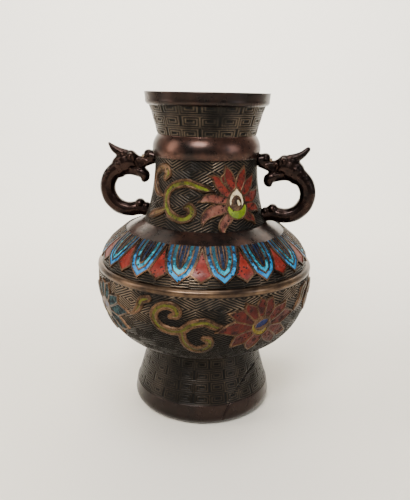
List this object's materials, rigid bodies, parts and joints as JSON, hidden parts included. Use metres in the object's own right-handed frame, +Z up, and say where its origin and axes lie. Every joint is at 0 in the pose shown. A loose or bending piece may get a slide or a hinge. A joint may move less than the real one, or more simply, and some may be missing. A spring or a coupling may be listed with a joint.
{
  "type": "vase",
  "caption": "Bulbous bronze vase on a flared foot, with a cylindrical neck, two curled dragon handles and raised enamel flowers, scrolls and petals.",
  "frame": {"origin": "centre of the foot, on the surface the vase stands on", "axes": "+Z up through the mouth; the two handles lie on the X axis; the front with the large flower and scroll faces -Y"},
  "size_m": [0.137, 0.137, 0.2],
  "materials": {
    "black_bronze": "cast bronze with a near-black glossy patina",
    "bowl_lotus_heart_blue": "fired enamel, pitted and slightly below the tops of its cell walls",
    "bowl_lotus_heart_yellow": "fired enamel, pitted and slightly below the tops of its cell walls",
    "bowl_lotus_petals_blue": "fired enamel, pitted and slightly below the tops of its cell walls",
    "bowl_lotus_petals_red": "fired enamel, pitted and slightly below the tops of its cell walls",
    "bowl_scroll_enamel": "fired enamel, pitted and slightly below the tops of its cell walls",
    "cell_walls": "raised bronze walls, patinated on their sides and worn bright on top",
    "dark_bronze": "cast bronze with a dark brown patina, matte in the hollows and softly polished on the plain bands",
    "neck_lotus_heart_green": "fired enamel, pitted and slightly below the tops of its cell walls",
    "neck_lotus_heart_white": "fired enamel, pitted and slightly below the tops of its cell walls",
    "neck_lotus_petals": "fired enamel, pitted and slightly below the tops of its cell walls",
    "neck_scroll_enamel": "fired enamel, pitted and slightly below the tops of its cell walls",
    "petal_enamel_dark": "fired enamel, pitted and slightly below the tops of its cell walls",
    "petal_enamel_red": "fired enamel, pitted and slightly below the tops of its cell walls",
    "petal_enamel_sky": "fired enamel, pitted and slightly below the tops of its cell walls",
    "petal_enamel_turquoise": "fired enamel, pitted and slightly below the tops of its cell walls",
    "pin_bronze": "plain bronze pin, brown patina",
    "worn_brass": "bronze rubbed back to a brassy shine along its edges"
  },
  "bodies": {
    "root": {"base_disc": "dark_bronze", "belly_band": "worn_brass", "bowl_casting": "dark_bronze", "bowl_lotus_heart_blue": "bowl_lotus_heart_blue", "bowl_lotus_heart_yellow": "bowl_lotus_heart_yellow", "bowl_lotus_petals_blue": "bowl_lotus_petals_blue", "bowl_lotus_petals_red": "bowl_lotus_petals_red", "bowl_lotus_walls": "cell_walls", "bowl_scroll_enamel": "bowl_scroll_enamel", "bowl_scroll_walls": "cell_walls", "foot_casting": "dark_bronze", "foot_joint_ring": "worn_brass", "handle_left": "black_bronze", "handle_pins_left": "pin_bronze", "handle_pins_right": "pin_bronze", "handle_right": "black_bronze", "neck_casting": "dark_bronze", "neck_lotus_heart_green": "neck_lotus_heart_green", "neck_lotus_heart_white": "neck_lotus_heart_white", "neck_lotus_petals": "neck_lotus_petals", "neck_lotus_walls": "cell_walls", "neck_scroll_enamel": "neck_scroll_enamel", "neck_scroll_walls": "cell_walls", "petal_enamel_dark": "petal_enamel_dark", "petal_enamel_red": "petal_enamel_red", "petal_enamel_sky": "petal_enamel_sky", "petal_enamel_turquoise": "petal_enamel_turquoise", "petal_walls": "cell_walls", "shoulder_casting": "dark_bronze"}
  },
  "joints": []
}
